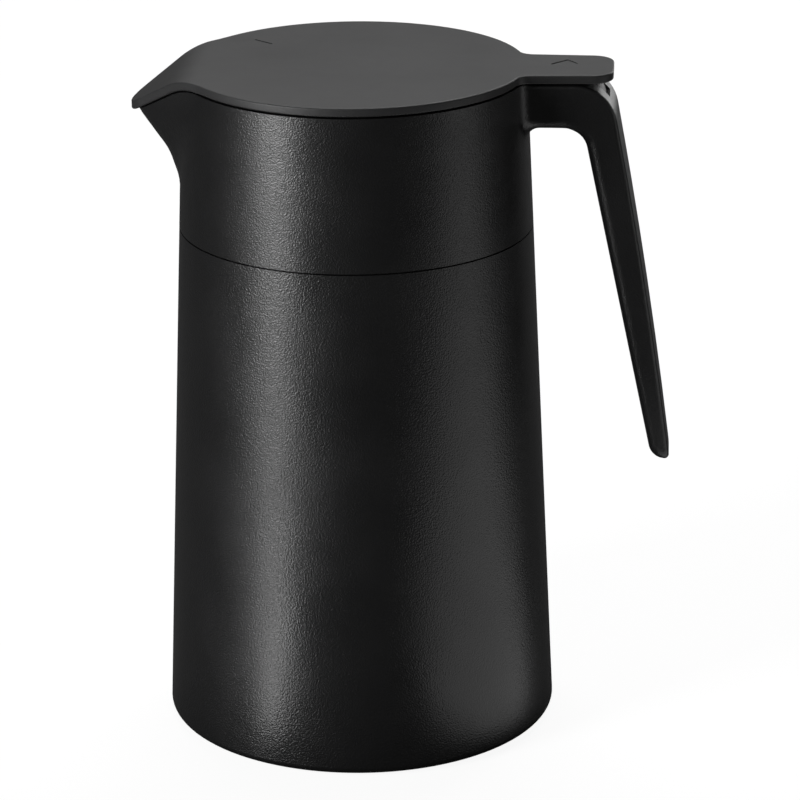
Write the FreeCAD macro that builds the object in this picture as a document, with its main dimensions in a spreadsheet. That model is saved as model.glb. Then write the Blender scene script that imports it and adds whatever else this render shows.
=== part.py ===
"""Thermal carafe: a vacuum flask in a tapering jug casing with a spout, a handle and a hinged flip lid.

Frame: millimetres, +Z up, origin on the body's axis at the plane that the carafe rests on.
+X points to the handle and -X to the spout.
"""
import FreeCAD
import Part
import math
import os

import Sketcher
from FreeCAD import Placement, Rotation, Vector

doc = FreeCAD.newDocument("carafe")

# ---------------------------------------------------------------------------------------------
# Driving dimensions
# ---------------------------------------------------------------------------------------------

DIMENSIONS = {
    # body and its taper
    "body_height": 220.5,
    "base_radius": 64.25,
    "top_radius": 54.95,
    "seam_height": 168.0,
    "seam_gap": 0.5,
    # vacuum flask
    "steel_wall": 0.6,
    "vacuum_gap": 6.0,
    "shoulder_gap": 3.5,
    "neck_gap": 0.6,
    "neck_radius": 42.0,
    "mouth_height": 198.0,
    "spigot_height": 6.0,
    "flask_floor_height": 16.0,
    "flask_floor_round": 8.0,
    "shoulder_round": 5.0,
    "weld_gap": 0.02,
    # vacuum base, its seal and the getter
    "vacuum_base_height": 8.0,
    "vacuum_base_flange": 4.0,
    "pump_hole_radius": 1.5,
    "seal_radius": 5.0,
    "seal_thickness": 1.4,
    "getter_radius": 6.0,
    "getter_thickness": 2.5,
    "getter_offset": 30.0,
    # foil round the inner flask
    "foil_thickness": 0.15,
    "foil_gap": 0.1,
    "foil_start": 26.0,
    "foil_end": 158.0,
    # underside
    "bottom_edge_height": 1.0,
    "bottom_edge_round": 2.5,
    "bottom_lip": 5.2,
    "cover_overlap": 3.0,
    "cover_thickness": 2.4,
    "cover_fit": 0.2,
    "pad_radius": 55.0,
    "pad_thickness": 2.0,
    "pad_inset": 1.1,
    "pad_edge_round": 0.6,
    # casing and spout
    "casing_wall": 2.4,
    "casing_fit": 0.3,
    "keel_start": 177.0,
    "keel_radius": 30.0,
    "keel_slope": 36.5,
    "root_round": 4.5,
    # lid plate
    "plate_thickness": 2.8,
    "lid_gap": 0.5,
    "plate_edge_round": 0.6,
    "lip_reach": 71.8,
    "lip_tip_radius": 12.0,
    "lip_side_angle": 44.3,
    "lip_overhang": 0.9,
    "lip_bend_start": 47.9,
    "lip_bend_radius": 18.0,
    "lip_slope": 34.0,
    "tab_root_half_width": 14.3,
    "tab_end_half_width": 12.7,
    "tab_reach": 82.5,
    "tab_corner_radius": 7.0,
    "tab_root_round": 5.0,
    "mark_depth": 0.25,
    "mark_width": 0.9,
    # pouring bowl
    "bowl_wall": 1.6,
    "bowl_fit": 0.2,
    "bowl_ledge": 0.4,
    "skirt_wall": 2.3,
    "skirt_length": 10.0,
    "seat_depth": 2.0,
    "gasket_thickness": 0.9,
    "gasket_width": 1.6,
    "funnel_rise": 4.6,
    "locking_ring_wall": 1.6,
    "locking_ring_height": 3.5,
    "locking_ring_gap": 0.1,
    # screws that hold the bowl in the casing
    "boss_circle": 49.4,
    "boss_radius": 2.6,
    "boss_bottom": 192.0,
    "boss_length": 10.0,
    "lug_thickness": 3.0,
    "lug_half_width": 3.6,
    "screw_radius": 1.25,
    "screw_head_radius": 2.4,
    "screw_head_height": 1.7,
    "screw_length": 8.0,
    "screw_clearance": 0.05,
    # handle
    "arm_height": 14.7,
    "arm_half_width": 12.8,
    "taper_start": 205.0,
    "handle_tip_height": 90.0,
    "tip_half_width": 8.6,
    "grip_back_top": 81.6,
    "grip_back_bottom": 102.1,
    "grip_back_radius": 1900.0,
    "grip_front_top": 73.1,
    "grip_front_bottom": 96.2,
    "shoulder_bend": 14.0,
    "crook_bend": 8.0,
    "tip_front_round": 5.5,
    "grip_front_round": 3.6,
    "grip_back_round": 1.4,
    "channel_half_width": 4.8,
    "channel_wall": 2.6,
    "channel_top": 186.0,
    "channel_bottom": 104.0,
    "cover_plate_thickness": 2.0,
    "cover_plate_gap": 0.2,
    # hinge
    "hinge_offset": 75.0,
    "hinge_height": 210.4,
    "barrel_radius": 5.2,
    "barrel_half_width": 4.2,
    "barrel_gap": 0.35,
    "pin_radius": 1.25,
    "pin_running_clearance": 0.05,
    "pin_inner_end": 9.5,
    "pin_outer_end": 10.6,
    "pin_plug_radius": 2.2,
    "pin_plug_depth": 1.6,
    "spring_wire": 0.8,
    "spring_coil_radius": 2.5,
    "spring_turns": 4.5,
    "spring_half_width": 2.0,
    "spring_moving_leg": 4.4,
    "spring_leg_bite": 3.0,
    "spring_leg_gap": 0.1,
    "spring_pocket_gap": 0.5,
    # insulated plug under the lid
    "plug_radius": 38.0,
    "plug_wall": 1.8,
    "plug_taper": 1.0,
    "plug_floor": 187.5,
    "cap_rim": 1.2,
    "cap_floor": 0.4,
    "cap_fit": 0.15,
    "cap_ring_wall": 1.55,
    "cap_ring_rise": 2.5,
    "cap_edge_round": 0.8,
    "plug_deck_height": 209.0,
    "plug_deck_thickness": 2.0,
    "foam_gap": 0.3,
    "foam_room": 3.0,
    "lid_screw_circle": 24.0,
    "lid_boss_radius": 3.2,
    "lid_screw_bite": 5.5,
    "seal_groove_depth": 0.8,
    "seal_height": 2.4,
    "seal_rise": 0.7,
    "seal_seat_gap": 0.25,
}

sheet = doc.addObject("Spreadsheet::Sheet", "Dims")
for row, (alias, amount) in enumerate(DIMENSIONS.items(), start=1):
    sheet.set("A%d" % row, alias)
    sheet.set("B%d" % row, str(amount))
    sheet.setAlias("B%d" % row, alias)
doc.recompute()


class Size:
    """A length that knows its number and the spreadsheet expression it comes from."""

    def __init__(self, text, number):
        self.text = text
        self.number = float(number)

    def _join(self, sign, other, number):
        return Size("(%s %s %s)" % (self.text, sign, other.text), number)

    def __add__(self, other):
        other = as_size(other)
        return self._join("+", other, self.number + other.number)

    def __sub__(self, other):
        other = as_size(other)
        return self._join("-", other, self.number - other.number)

    def __mul__(self, other):
        other = as_size(other)
        return self._join("*", other, self.number * other.number)

    def __truediv__(self, other):
        other = as_size(other)
        return self._join("/", other, self.number / other.number)

    def __radd__(self, other):
        return as_size(other) + self

    def __rsub__(self, other):
        return as_size(other) - self

    def __rmul__(self, other):
        return as_size(other) * self

    def __neg__(self):
        return as_size(0) - self


def as_size(value):
    """A Size for a plain number, or the Size itself."""
    if isinstance(value, Size):
        return value
    return Size(repr(float(value)), value)


def dim(alias):
    """The spreadsheet cell of that alias as a Size."""
    return Size("Dims.%s" % alias, sheet.get(alias))


def number(alias):
    """The plain number in the spreadsheet cell of that alias."""
    return float(sheet.get(alias))


# Heights and radii that several pieces share
RIM_HEIGHT = dim("body_height") - dim("plate_thickness") - dim("lid_gap")
PLATE_UNDERSIDE = dim("body_height") - dim("plate_thickness")
TAPER = (dim("base_radius") - dim("top_radius")) / dim("body_height")
SHELL_TOP = dim("seam_height") - dim("seam_gap") / 2
CASING_BOTTOM = dim("seam_height") + dim("seam_gap") / 2
LEVEL_COUNT = 22
MITRE = math.tan(math.radians(22.5))
DIAGONAL = math.sqrt(2)


def cone_radius(height):
    """Radius of the tapering body at a height."""
    return dim("base_radius") - TAPER * height


# ---------------------------------------------------------------------------------------------
# Helpers for features
# ---------------------------------------------------------------------------------------------

def bind(feature, path, size):
    """Tie one property of a feature to the spreadsheet."""
    feature.setExpression(path, as_size(size).text)


def move_to(feature, x=0, y=0, z=0):
    """Tie a feature's position to the spreadsheet."""
    for letter, size in (("x", x), ("y", y), ("z", z)):
        bind(feature, "Placement.Base.%s" % letter, size)


def new_body(label):
    """An empty PartDesign body."""
    body = doc.addObject("PartDesign::Body", label)
    body.Label = label
    return body


def arc_between(start, end, radius):
    """The short counter-clockwise arc from start to end."""
    chord = end - start
    half = chord.Length / 2
    normal = Vector(-chord.y, chord.x, 0).normalize()
    centre = (start + end) / 2 + normal * math.sqrt(radius ** 2 - half ** 2)
    circle = Part.Circle(centre, Vector(0, 0, 1), radius)
    first = math.atan2(start.y - centre.y, start.x - centre.x)
    last = math.atan2(end.y - centre.y, end.x - centre.x)
    if last < first:
        last += 2 * math.pi
    return Part.ArcOfCircle(circle, first, last)


def polygon_sketch(body, plane_role, loops, arc_radius=None):
    """A sketch of closed outlines whose corners are held by sizes.

    Each loop lists its corners as pairs of sizes, counter-clockwise. With arc_radius, the first
    side of the first loop is an arc of that radius instead of a line.
    """
    sketch = body.newObject("Sketcher::SketchObject", "Outline")
    plane = [item for item in body.Origin.OriginFeatures if item.Role == plane_role][0]
    sketch.AttachmentSupport = (plane, [""])
    sketch.MapMode = "FlatFace"
    for loop in loops:
        corners = [(as_size(across), as_size(along)) for across, along in loop]
        points = [Vector(across.number, along.number, 0) for across, along in corners]
        sides = []
        for index, start in enumerate(points):
            end = points[(index + 1) % len(points)]
            if arc_radius is not None and index == 0 and loop is loops[0]:
                sides.append(sketch.addGeometry(arc_between(start, end, arc_radius.number)))
                held = sketch.addConstraint(
                    Sketcher.Constraint("Radius", sides[-1], arc_radius.number))
                bind(sketch, "Constraints[%d]" % held, arc_radius)
            else:
                sides.append(sketch.addGeometry(Part.LineSegment(start, end)))
        for index, side in enumerate(sides):
            following = sides[(index + 1) % len(sides)]
            sketch.addConstraint(Sketcher.Constraint("Coincident", side, 2, following, 1))
            for kind, size in zip(("DistanceX", "DistanceY"), corners[index]):
                held = sketch.addConstraint(
                    Sketcher.Constraint(kind, -1, 1, side, 1, size.number))
                bind(sketch, "Constraints[%d]" % held, size)
    doc.recompute()
    return sketch


def revolved_body(label, corners):
    """A body turned about Z from a closed outline of (radius, height) corners."""
    body = new_body(label)
    turn = body.newObject("PartDesign::Revolution", "Turn")
    sketch = polygon_sketch(body, "XZ_Plane", [corners])
    turn.Profile = sketch
    turn.ReferenceAxis = (sketch, ["V_Axis"])
    turn.Angle = 360
    doc.recompute()
    body.Tip = turn
    return body


def padded_body(label, plane_role, corners, half_width, arc_radius=None):
    """A body padded to both sides of a plane from a closed outline."""
    body = new_body(label)
    sketch = polygon_sketch(body, plane_role, [corners], arc_radius)
    pad = body.newObject("PartDesign::Pad", "Slab")
    pad.Profile = sketch
    pad.SideType = "Symmetric"
    bind(pad, "Length", 2 * as_size(half_width))
    doc.recompute()
    return body


def round_edges(body, is_wanted, radius):
    """Fillet the edges of the body's last feature for which is_wanted(edge) holds."""
    base = body.Tip
    names = ["Edge%d" % (index + 1)
             for index, edge in enumerate(base.Shape.Edges) if is_wanted(edge)]
    fillet = body.newObject("PartDesign::Fillet", "Round")
    fillet.Base = (base, names)
    bind(fillet, "Radius", radius)
    doc.recompute()


def round_rings(body, rings, radius):
    """Fillet the circular edges of a turned body at the given (radius, height) places."""
    def is_ring(edge):
        if edge.Curve.TypeId != "Part::GeomCircle":
            return False
        return any(abs(edge.Curve.Radius - as_size(across).number) < 0.01
                   and abs(edge.Curve.Center.z - as_size(up).number) < 0.01
                   for across, up in rings)
    round_edges(body, is_ring, radius)


AXIS_TURNS = {
    "X": Rotation(Vector(0, 1, 0), 90),
    "Y": Rotation(Vector(1, 0, 0), -90),
    "Z": Rotation(),
}


def cylinder(label, radius, length, x=0, y=0, z=0, axis="Z"):
    """A cylinder that starts at (x, y, z) and runs along the named axis."""
    piece = doc.addObject("Part::Cylinder", label)
    piece.Label = label
    bind(piece, "Radius", radius)
    bind(piece, "Height", length)
    piece.Placement = Placement(Vector(), AXIS_TURNS[axis])
    move_to(piece, x, y, z)
    return piece


def box(label, low, high):
    """A box between two opposite corners, each a triple of sizes."""
    low = [as_size(value) for value in low]
    high = [as_size(value) for value in high]
    piece = doc.addObject("Part::Box", label)
    piece.Label = label
    for name, start, end in zip(("Length", "Width", "Height"), low, high):
        bind(piece, name, end - start)
    move_to(piece, *low)
    return piece


def fused(label, pieces):
    """The union of several objects."""
    union = doc.addObject("Part::MultiFuse", label)
    union.Label = label
    union.Shapes = pieces
    union.Refine = True
    doc.recompute()
    return union


def cut(label, base, tools):
    """The base with every tool taken away."""
    tool = tools[0] if len(tools) == 1 else fused(label + "_tools", tools)
    result = doc.addObject("Part::Cut", label)
    result.Label = label
    result.Base = base
    result.Tool = tool
    result.Refine = True
    doc.recompute()
    return result


def shape_object(label, shape):
    """A plain object for a shape that Part's own functions made."""
    piece = doc.addObject("Part::Feature", label)
    piece.Label = label
    piece.Shape = shape
    piece.Placement = Placement()
    return piece


def turned_box(label, low, high, angle):
    """A box given by two opposite corners and then turned about Z by an angle in degrees."""
    piece = box(label, low, high)
    x, y, z = (as_size(value) for value in low)
    cosine = math.cos(math.radians(angle))
    sine = math.sin(math.radians(angle))
    piece.Placement = Placement(Vector(), Rotation(Vector(0, 0, 1), angle))
    move_to(piece, x * cosine - y * sine, x * sine + y * cosine, z)
    return piece


def around(circle_radius, angles):
    """Places on a circle about Z, as (x, y) pairs of sizes."""
    return [(circle_radius * math.cos(math.radians(angle)),
             circle_radius * math.sin(math.radians(angle))) for angle in angles]


# ---------------------------------------------------------------------------------------------
# Outline of the rim: a circle with a beak towards -X
# ---------------------------------------------------------------------------------------------

BEAK_HALF_ANGLE = 46
BEAK_STEP = 2
DISC_STEP = 8
LIP_BLEND = 1.0
KEEL_BLEND_GROWTH = 0.175


def soft_max(first, second, width):
    """The larger of two values, with a rounded change-over of the given width."""
    near = max(width - abs(first - second), 0) / width
    return max(first, second) + near ** 2 * width / 4


def beak_radius(angle, reach):
    """Distance from the axis to the beak's outline, at an angle from -X in radians."""
    side = math.radians(number("lip_side_angle"))
    tip = number("lip_tip_radius")
    centre = reach - tip
    tangent = math.atan2(tip * math.cos(side), centre + tip * math.sin(side))
    if abs(angle) < tangent:
        across = centre * math.sin(angle)
        return centre * math.cos(angle) + math.sqrt(tip ** 2 - across ** 2)
    if abs(angle) < math.pi / 2 - side:
        return (centre * math.sin(side) + tip) / math.sin(side + abs(angle))
    return 0


def rim_wire(height, radius_at):
    """A smooth closed curve at a height, whose radius is a function of the angle from -X."""
    angles = list(range(-BEAK_HALF_ANGLE, BEAK_HALF_ANGLE + 1, BEAK_STEP))
    rest = 360 - 2 * BEAK_HALF_ANGLE
    count = rest // DISC_STEP
    angles += [BEAK_HALF_ANGLE + rest * step / count for step in range(1, count)]
    points = []
    for degrees in angles:
        angle = math.radians(degrees if degrees <= 180 else degrees - 360)
        radius = radius_at(angle)
        points.append(Vector(-radius * math.cos(angle), -radius * math.sin(angle), height))
    curve = Part.BSplineCurve()
    curve.interpolate(points, PeriodicFlag=True)
    return Part.Wire([curve.toShape()])


def keel_reach(height):
    """Distance from the axis to the spout's keel: upright, then an arc, then a slope."""
    slope = math.radians(number("keel_slope"))
    bend = number("keel_radius")
    above = max(height - number("keel_start"), 0)
    if above < bend * math.sin(slope):
        swell = bend - math.sqrt(bend ** 2 - above ** 2)
    else:
        swell = bend * (1 - math.cos(slope)) + (above - bend * math.sin(slope)) * math.tan(slope)
    limit = number("lip_reach") - number("lip_overhang")
    return -soft_max(-cone_radius(as_size(height)).number - swell, -limit, 3 * LIP_BLEND)


def body_outline(height, inset):
    """The casing's outline at a height, as a function of the angle from -X."""
    cone = cone_radius(as_size(height)).number
    reach = keel_reach(height)
    depth = max(RIM_HEIGHT.number - 2 * number("seam_gap") - height, 0)
    blend = min(LIP_BLEND + KEEL_BLEND_GROWTH * min(depth, 20), 2 * (reach - cone))

    def radius_at(angle):
        if reach <= cone:
            return cone - inset
        return soft_max(cone, beak_radius(angle, reach), blend) - inset
    return radius_at


def lofted(levels):
    """A solid through closed curves, given as (height, radius function) pairs."""
    wires = [rim_wire(height, radius_at) for height, radius_at in levels]
    return Part.makeLoft(wires, True, False)


def casing_solid(bottom, top, inset):
    """The solid inside the casing's outline, a given inset from its outer face."""
    step = (top - bottom) / LEVEL_COUNT
    heights = [bottom + step * index for index in range(LEVEL_COUNT + 1)]
    return lofted([(height, body_outline(height, inset)) for height in heights])


def under_lip(depth):
    """Everything below the lid's bent surface moved down by a depth, across the whole body."""
    half = 2 * number("base_radius")
    slope = math.radians(number("lip_slope"))
    radius = number("lip_bend_radius") - depth
    centre = Vector(-number("lip_bend_start"), 0, number("body_height") - number("lip_bend_radius"))

    def on_bend(angle):
        return centre + Vector(-math.sin(angle), 0, math.cos(angle)) * radius
    bend_end = on_bend(slope)
    start = Vector(half, 0, on_bend(0).z)
    tail = Vector(-half, 0, bend_end.z - (bend_end.x + half) * math.tan(slope))
    floor = -number("base_radius")
    outline = Part.Wire([
        Part.makeLine(start, on_bend(0)),
        Part.Arc(on_bend(0), on_bend(slope / 2), bend_end).toShape(),
        Part.makeLine(bend_end, tail),
        Part.makeLine(tail, Vector(-half, 0, floor)),
        Part.makeLine(Vector(-half, 0, floor), Vector(half, 0, floor)),
        Part.makeLine(Vector(half, 0, floor), start),
    ])
    solid = Part.Face(outline).extrude(Vector(0, 2 * half, 0))
    solid.translate(Vector(0, -half, 0))
    return solid


# ---------------------------------------------------------------------------------------------
# Vacuum flask
# ---------------------------------------------------------------------------------------------

STEEL = dim("steel_wall")
BODY_BOTTOM = dim("bottom_edge_height")
SPIGOT_RADIUS = cone_radius(SHELL_TOP) - dim("casing_wall") - dim("casing_fit")
SPIGOT_TOP = SHELL_TOP + dim("spigot_height")
NECK_RADIUS = dim("neck_radius")
SHOULDER_TOP = SPIGOT_TOP + SPIGOT_RADIUS - NECK_RADIUS
INNER_INSET = STEEL + dim("vacuum_gap")
LINER_NECK = NECK_RADIUS - STEEL - dim("neck_gap")
MOUTH_RADIUS = LINER_NECK - STEEL
MOUTH = dim("mouth_height")


def make_outer_shell():
    """The jug's steel body: rolled-in foot, tapering wall, step for the casing and neck."""
    lip_radius = cone_radius(BODY_BOTTOM) - dim("bottom_lip")
    wall_foot = (cone_radius(BODY_BOTTOM), BODY_BOTTOM)
    wall_top = (cone_radius(SHELL_TOP), SHELL_TOP)
    spigot_foot = (SPIGOT_RADIUS, SHELL_TOP)
    spigot_top = (SPIGOT_RADIUS, SPIGOT_TOP)
    neck_foot = (NECK_RADIUS, SHOULDER_TOP)
    inner_foot = (cone_radius(BODY_BOTTOM + STEEL) - STEEL, BODY_BOTTOM + STEEL)
    inner_top = (cone_radius(SHELL_TOP - STEEL) - STEEL, SHELL_TOP - STEEL)
    inner_spigot_foot = (SPIGOT_RADIUS - STEEL, SHELL_TOP - STEEL)
    inner_spigot_top = (SPIGOT_RADIUS - STEEL, SPIGOT_TOP - STEEL * MITRE)
    inner_neck_foot = (NECK_RADIUS - STEEL, SHOULDER_TOP - STEEL * MITRE)
    body = revolved_body("outer_shell", [
        (lip_radius, BODY_BOTTOM), wall_foot, wall_top, spigot_foot, spigot_top, neck_foot,
        (NECK_RADIUS, MOUTH - STEEL), (NECK_RADIUS - STEEL, MOUTH - STEEL),
        inner_neck_foot, inner_spigot_top, inner_spigot_foot, inner_top, inner_foot,
        (lip_radius, BODY_BOTTOM + STEEL)])
    round_rings(body, [wall_foot], dim("bottom_edge_round"))
    round_rings(body, [inner_foot], dim("bottom_edge_round") - STEEL)
    round_rings(body, [spigot_top, inner_neck_foot], dim("shoulder_round"))
    round_rings(body, [inner_spigot_top, neck_foot], dim("shoulder_round") - STEEL)
    return body


def make_inner_flask():
    """The steel liner: closed floor, wall parallel to the shell, neck and rolled mouth."""
    floor = dim("flask_floor_height")
    shoulder_foot_radius = cone_radius(SPIGOT_TOP) - INNER_INSET
    shoulder_drop = dim("shoulder_gap") * DIAGONAL
    shoulder_foot = (shoulder_foot_radius,
                     SPIGOT_TOP + SPIGOT_RADIUS - shoulder_drop - shoulder_foot_radius)
    neck_foot = (LINER_NECK, SPIGOT_TOP + SPIGOT_RADIUS - shoulder_drop - LINER_NECK)
    inner_shoulder_foot = (shoulder_foot_radius - STEEL, shoulder_foot[1] - STEEL * MITRE)
    inner_neck_foot = (MOUTH_RADIUS, neck_foot[1] - STEEL * MITRE)
    floor_edge = (cone_radius(floor) - INNER_INSET, floor)
    inner_floor_edge = (cone_radius(floor + STEEL) - INNER_INSET - STEEL, floor + STEEL)
    body = revolved_body("inner_flask", [
        (0, floor), floor_edge, shoulder_foot, neck_foot,
        (LINER_NECK, MOUTH - STEEL), (NECK_RADIUS, MOUTH - STEEL), (NECK_RADIUS, MOUTH),
        (MOUTH_RADIUS, MOUTH), inner_neck_foot, inner_shoulder_foot, inner_floor_edge,
        (0, floor + STEEL)])
    round_rings(body, [floor_edge], dim("flask_floor_round"))
    round_rings(body, [inner_floor_edge], dim("flask_floor_round") - STEEL)
    round_rings(body, [shoulder_foot, inner_neck_foot], dim("shoulder_round"))
    round_rings(body, [inner_shoulder_foot, neck_foot], dim("shoulder_round") - STEEL)
    return body


def make_vacuum_base():
    """The dished disc that closes the vacuum jacket, with the hole it is pumped through."""
    low = dim("vacuum_base_height")
    top = low + dim("vacuum_base_flange")
    inset = STEEL + dim("weld_gap")
    return revolved_body("vacuum_base", [
        (dim("pump_hole_radius"), low), (cone_radius(low) - inset, low),
        (cone_radius(top) - inset, top), (cone_radius(top) - inset - STEEL, top),
        (cone_radius(low) - inset - STEEL, low + STEEL), (dim("pump_hole_radius"), low + STEEL)])


def make_vacuum_seal():
    """The solder button under the pump hole, with a stub that fills the hole."""
    low = dim("vacuum_base_height")
    stub = dim("pump_hole_radius") - dim("weld_gap")
    return revolved_body("vacuum_seal", [
        (0, low - dim("seal_thickness")), (dim("seal_radius"), low - dim("seal_thickness")),
        (dim("seal_radius"), low), (stub, low), (stub, low + STEEL), (0, low + STEEL)])


def make_getter():
    """The getter pill on the vacuum side of the base."""
    return cylinder("getter", dim("getter_radius"), dim("getter_thickness"),
                    x=dim("getter_offset"), z=dim("vacuum_base_height") + STEEL)


def make_foil_wrap():
    """The reflective foil wound round the liner, inside the vacuum."""
    low = dim("foil_start")
    high = dim("foil_end")
    inside = INNER_INSET - dim("foil_gap")
    outside = inside - dim("foil_thickness")
    return revolved_body("foil_wrap", [
        (cone_radius(low) - inside, low), (cone_radius(low) - outside, low),
        (cone_radius(high) - outside, high), (cone_radius(high) - inside, high)])


# ---------------------------------------------------------------------------------------------
# Underside
# ---------------------------------------------------------------------------------------------

def make_base_cover():
    """The moulded cover that snaps in behind the shell's rolled lip."""
    lip_radius = cone_radius(BODY_BOTTOM) - dim("bottom_lip") - dim("cover_fit")
    lip_top = BODY_BOTTOM + STEEL + dim("cover_fit") / 2
    top = lip_top + dim("cover_thickness")
    pad_room = dim("pad_radius") + dim("cover_fit") / 2
    recess = dim("pad_thickness") + dim("cover_fit") / 4
    return revolved_body("base_cover", [
        (0, recess), (pad_room, recess), (pad_room, dim("pad_inset") - dim("cover_fit") / 2),
        (lip_radius, dim("pad_inset") - dim("cover_fit") / 2), (lip_radius, lip_top),
        (lip_radius + dim("cover_overlap"), lip_top), (lip_radius + dim("cover_overlap"), top),
        (0, top)])


def make_base_pad():
    """The anti-slip pad that the carafe stands on."""
    body = revolved_body("base_pad", [
        (0, 0), (dim("pad_radius"), 0), (dim("pad_radius"), dim("pad_thickness")),
        (0, dim("pad_thickness"))])
    round_rings(body, [(dim("pad_radius"), 0)], dim("pad_edge_round"))
    return body


# ---------------------------------------------------------------------------------------------
# Casing with spout and handle
# ---------------------------------------------------------------------------------------------

ARM_BOTTOM = RIM_HEIGHT - dim("arm_height")
GRIP_LENGTH = ARM_BOTTOM - dim("handle_tip_height")
FRONT_LEAN = (dim("grip_front_bottom") - dim("grip_front_top")) / GRIP_LENGTH
BACK_LEAN = ((dim("grip_back_bottom") - dim("grip_back_top"))
             / (RIM_HEIGHT - dim("handle_tip_height")))
ROOT_DEPTH = 0.75


def grip_front(height):
    """X of the grip's face towards the body, at a height."""
    return dim("grip_front_top") + (ARM_BOTTOM - height) * FRONT_LEAN


def grip_back(height):
    """X of the chord behind the grip's back, at a height."""
    return dim("grip_back_top") + (RIM_HEIGHT - height) * BACK_LEAN


def make_handle_blank():
    """The solid arm and grip: outline padded sideways, tapered in front view and rounded."""
    tip = dim("handle_tip_height")
    root = dim("top_radius") * ROOT_DEPTH
    wide = 2 * dim("arm_half_width")
    body = padded_body("handle_blank", "XZ_Plane", [
        (dim("grip_back_bottom"), tip), (dim("grip_back_top"), RIM_HEIGHT), (root, RIM_HEIGHT),
        (root, ARM_BOTTOM), (dim("grip_front_top"), ARM_BOTTOM), (dim("grip_front_bottom"), tip),
    ], wide, arc_radius=dim("grip_back_radius"))

    def at_corner(x, z):
        def is_corner(edge):
            box_of = edge.BoundBox
            middle = edge.CenterOfMass
            return (box_of.YLength > 1 and box_of.XLength + box_of.ZLength < 1
                    and abs(middle.x - as_size(x).number) < 0.5
                    and abs(middle.z - as_size(z).number) < 0.5)
        return is_corner
    round_edges(body, at_corner(dim("grip_back_top"), RIM_HEIGHT), dim("shoulder_bend"))
    round_edges(body, at_corner(dim("grip_front_top"), ARM_BOTTOM), dim("crook_bend"))
    round_edges(body, at_corner(dim("grip_front_bottom"), tip), dim("tip_front_round"))

    above = RIM_HEIGHT + wide
    below = tip - wide
    lean = (dim("arm_half_width") - dim("tip_half_width")) / (dim("taper_start") - tip)
    foot_half = dim("tip_half_width") - lean * wide
    side = [(dim("arm_half_width"), above), (dim("arm_half_width"), dim("taper_start")),
            (foot_half, below), (2 * wide, below), (2 * wide, above)]
    mirrored = [(-across, up) for across, up in reversed(side)]
    trim = body.newObject("PartDesign::Pocket", "Taper")
    trim.Profile = polygon_sketch(body, "YZ_Plane", [side, mirrored])
    trim.SideType = "Symmetric"
    bind(trim, "Length", 8 * dim("grip_back_bottom"))
    doc.recompute()

    def is_long(edge, outer):
        middle = edge.CenterOfMass
        on_side = abs(middle.y) > 0.7 * number("tip_half_width")
        if not on_side or middle.z > number("taper_start") - number("crook_bend"):
            return False
        split = (grip_front(as_size(middle.z)) + grip_back(as_size(middle.z))).number / 2
        return middle.z > 1.2 * tip.number and (middle.x > split) == outer
    round_edges(body, lambda edge: is_long(edge, False), dim("grip_front_round"))
    round_edges(body, lambda edge: is_long(edge, True), dim("grip_back_round"))
    return body


# Hinge between the arm and the lid
HINGE_X = dim("hinge_offset")
HINGE_Z = dim("hinge_height")
BARREL = dim("barrel_radius")
BARREL_HALF = dim("barrel_half_width")
SLOT_RADIUS = BARREL + dim("barrel_gap")
SLOT_HALF = BARREL_HALF + dim("barrel_gap")
SLOT_LIP = dim("barrel_radius") / 5
ABOVE_HINGE = HINGE_Z + 3 * BARREL
PLUG_HOLE = dim("pin_plug_radius") + dim("weld_gap")
PLUG_SEAT = dim("arm_half_width") - dim("pin_plug_depth") - dim("weld_gap")
LEG_REACH = HINGE_X - SLOT_RADIUS - dim("spring_leg_bite")
SCREW_HOLE = dim("screw_radius") + 4 * dim("screw_clearance")
PILOT_HOLE = dim("screw_radius") + dim("screw_clearance")
BOSS_ANGLES = (50, 125, 235, 310)
LIP_DEPTH = dim("plate_thickness") + dim("lid_gap")
LUG_TOP = dim("boss_bottom")
LUG_BOTTOM = LUG_TOP - dim("lug_thickness")


def is_root_edge(edge):
    """Whether an edge is where the arm meets the tapering wall."""
    middle = edge.valueAt((edge.FirstParameter + edge.LastParameter) / 2)
    wall = cone_radius(as_size(middle.z)).number
    return (middle.x > 0 and abs(middle.y) < number("arm_half_width") + 0.1
            and abs(math.hypot(middle.x, middle.y) - wall) < 0.05
            and ARM_BOTTOM.number - 0.1 < middle.z < RIM_HEIGHT.number + 0.1)


def hinge_slot():
    """What the arm leaves open for the barrel, its neck, the pin and the spring's leg."""
    leg_hole = dim("spring_wire") / 2 + dim("spring_leg_gap")
    return [
        cylinder("barrel_room", SLOT_RADIUS, 2 * SLOT_HALF, HINGE_X, -SLOT_HALF, HINGE_Z, "Y"),
        box("neck_room", (HINGE_X - SLOT_RADIUS, -SLOT_HALF, HINGE_Z),
            (HINGE_X + SLOT_LIP, SLOT_HALF, ABOVE_HINGE)),
        box("swing_room", (HINGE_X, -SLOT_HALF, HINGE_Z + SLOT_LIP),
            (HINGE_X + 3 * BARREL, SLOT_HALF, ABOVE_HINGE)),
        cylinder("pin_hole", dim("pin_radius") + dim("weld_gap"), 2 * dim("arm_half_width"),
                 HINGE_X, -dim("pin_inner_end") - dim("barrel_gap"), HINGE_Z, "Y"),
        cylinder("plug_hole", PLUG_HOLE, dim("arm_half_width"),
                 HINGE_X, PLUG_SEAT, HINGE_Z, "Y"),
        cylinder("leg_hole", leg_hole, 2 * BARREL, LEG_REACH - dim("spring_leg_gap"),
                 -dim("spring_half_width"), HINGE_Z - dim("spring_coil_radius"), "X"),
    ]


def grip_channel():
    """The core of the hollow grip, open towards the body."""
    low = dim("channel_bottom")
    high = dim("channel_top")
    outside = dim("casing_wall")
    return padded_body("grip_channel", "XZ_Plane", [
        (grip_front(low) - outside, low), (grip_back(low) - dim("channel_wall"), low),
        (grip_back(high) - dim("channel_wall"), high), (grip_front(high) - outside, high),
    ], dim("channel_half_width"))


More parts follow.
